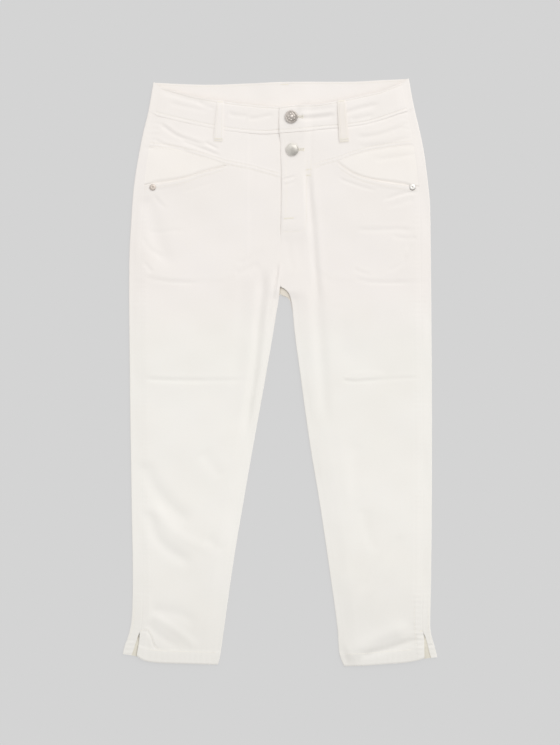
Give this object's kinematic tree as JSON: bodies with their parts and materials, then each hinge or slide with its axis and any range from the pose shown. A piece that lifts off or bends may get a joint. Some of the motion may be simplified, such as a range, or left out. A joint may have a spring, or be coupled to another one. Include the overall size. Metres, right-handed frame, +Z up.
{
  "type": "capri pants",
  "caption": "Cropped trousers in ecru stretch twill laid flat, with curved yokes, scoop front pockets, belt loops, a buttoned waistband and slit hems.",
  "frame": {"origin": "middle of the garment's outline, on the surface that it lies on", "axes": "+X to the wearer's left, +Y from the hems to the waist, +Z up out of the front"},
  "size_m": [0.4725, 0.8818, 0.0132],
  "materials": {
    "twill": "matte ecru cotton stretch twill",
    "pocket_cloth": "matte ecru cotton pocket cloth, twill where it shows",
    "antique_metal": "antique nickel, satin",
    "bright_metal": "bright nickel, satin"
  },
  "bodies": {
    "root": {"front_right": "twill", "front_left": "twill", "back_right": "twill", "back_left": "twill", "yoke_right": "twill", "yoke_left": "twill", "pocket_right": "pocket_cloth", "pocket_left": "pocket_cloth", "fly_underlap": "twill", "waistband_front_right": "twill", "waistband_front_left": "twill", "waistband_back": "twill", "belt_loop_right": "twill", "belt_loop_left": "twill", "belt_loop_back": "twill", "button_waist": "antique_metal", "button_yoke": "bright_metal", "rivet_right": "antique_metal", "rivet_left": "bright_metal"}
  },
  "joints": []
}
